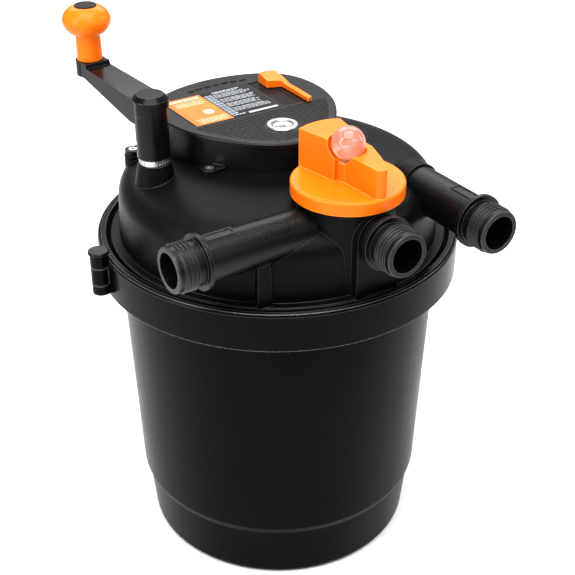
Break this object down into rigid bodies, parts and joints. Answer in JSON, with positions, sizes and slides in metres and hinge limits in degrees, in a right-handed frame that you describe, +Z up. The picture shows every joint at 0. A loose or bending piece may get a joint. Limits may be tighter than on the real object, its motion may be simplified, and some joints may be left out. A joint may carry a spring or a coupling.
{
  "type": "pressurized pond filter",
  "caption": "Pressurized pond filter with a clamp-ring lid, hand-cranked foam cleaner, UV head, selector valve knob and threaded hose ports.",
  "frame": {"origin": "centre of the tub's flat base, on the tub's axis", "axes": "+Z up along the tub's axis, -Y the way the middle port points, -X the way the left port points"},
  "size_m": [0.43, 0.4305, 0.5983],
  "materials": {
    "body_black": "moulded polypropylene, fine grain",
    "tub_black": "moulded polypropylene, satin",
    "clamp_black": "glass-filled nylon, satin",
    "gloss_black": "polished ABS",
    "orange": "coloured ABS, satin gloss",
    "clear": "clear polycarbonate",
    "steel": "stainless, brushed",
    "rubber": "EPDM seal",
    "label": "printed polyester film",
    "panel": "printed film",
    "foam": "reticulated foam",
    "quartz": "fused quartz",
    "lamp": "UV tube with ceramic ends",
    "inner_plastic": "moulded plastic"
  },
  "bodies": {
    "root": {"ballast": "inner_plastic", "cable_gland": "gloss_black", "carrier_pivot": "inner_plastic", "clamp_hinge_pin": "gloss_black", "clamp_rear_half": "clamp_black", "cover_gasket": "rubber", "cover_lever_pin": "steel", "cover_screws": "steel", "crank_bush": "inner_plastic", "crank_seal_ring": "steel", "label_plate": "label", "lamp_holder": "inner_plastic", "lid": "body_black", "lid_seal": "rubber", "port_left": "body_black", "port_middle": "body_black", "port_right": "body_black", "quartz_sleeve": "quartz", "side_panel": "panel", "sleeve_nut": "inner_plastic", "tub": "tub_black", "uv_cover": "gloss_black", "uv_lamp": "lamp", "valve_seal": "rubber", "window_bezel": "steel", "window_lens": "clear"},
    "selector": {"selector_knob": "orange", "sight_dome": "clear", "knob_screw": "steel", "valve_rotor": "inner_plastic"},
    "clamp_front": {"clamp_front_half": "clamp_black", "latch_pin": "steel"},
    "latch": {"latch_lever": "gloss_black"},
    "crank": {"crank_arm": "gloss_black", "crank_cap": "gloss_black", "crank_shaft": "steel", "crank_pinion": "inner_plastic", "crank_handle_pin": "steel"},
    "crank_handle": {"crank_handle": "orange", "crank_handle_cap": "gloss_black"},
    "carrier": {"ring_gear": "inner_plastic", "foam_base_plate": "inner_plastic", "centre_tube": "inner_plastic", "foam_discs": "foam", "foam_top_plate": "inner_plastic", "tie_rods": "steel"},
    "cover_lever": {"cover_lever": "orange"}
  },
  "joints": [
    {"name": "crank_turn", "type": "hinge", "parent": "root", "child": "crank", "pos_m": [-0.12779, 0.03305, 0.48], "axis": [0, 0, 1], "continuous": true},
    {"name": "carrier_spin", "type": "hinge", "parent": "root", "child": "carrier", "pos_m": [0, 0, 0.06], "axis": [0, 0, 1], "continuous": true},
    {"name": "crank_handle_spin", "type": "hinge", "parent": "crank", "child": "crank_handle", "pos_m": [-0.13738, 0.15216, 0.56], "axis": [0, 0, 1], "continuous": true},
    {"name": "selector_turn", "type": "hinge", "parent": "root", "child": "selector", "pos_m": [0, -0.127, 0.47], "axis": [0, 0, 1], "range_deg": [-90, 90]},
    {"name": "cover_lever_swing", "type": "hinge", "parent": "root", "child": "cover_lever", "pos_m": [0.057, 0.097, 0.495], "axis": [0, 0, 1], "range_deg": [0, 24]},
    {"name": "latch_open", "type": "hinge", "parent": "clamp_front", "child": "latch", "pos_m": [0.18905, -0.07257, 0.354], "axis": [0, 0, -1], "range_deg": [0, 100]},
    {"name": "clamp_open", "type": "hinge", "parent": "root", "child": "clamp_front", "pos_m": [-0.20003, 0.02811, 0.354], "axis": [0, 0, -1], "range_deg": [0, 6.6]}
  ],
  "couplings": [
    {"joint": "carrier_spin", "follows": "crank_turn", "ratio": -0.18919},
    {"joint": "clamp_open", "follows": "latch_open", "ratio": 0.066}
  ]
}
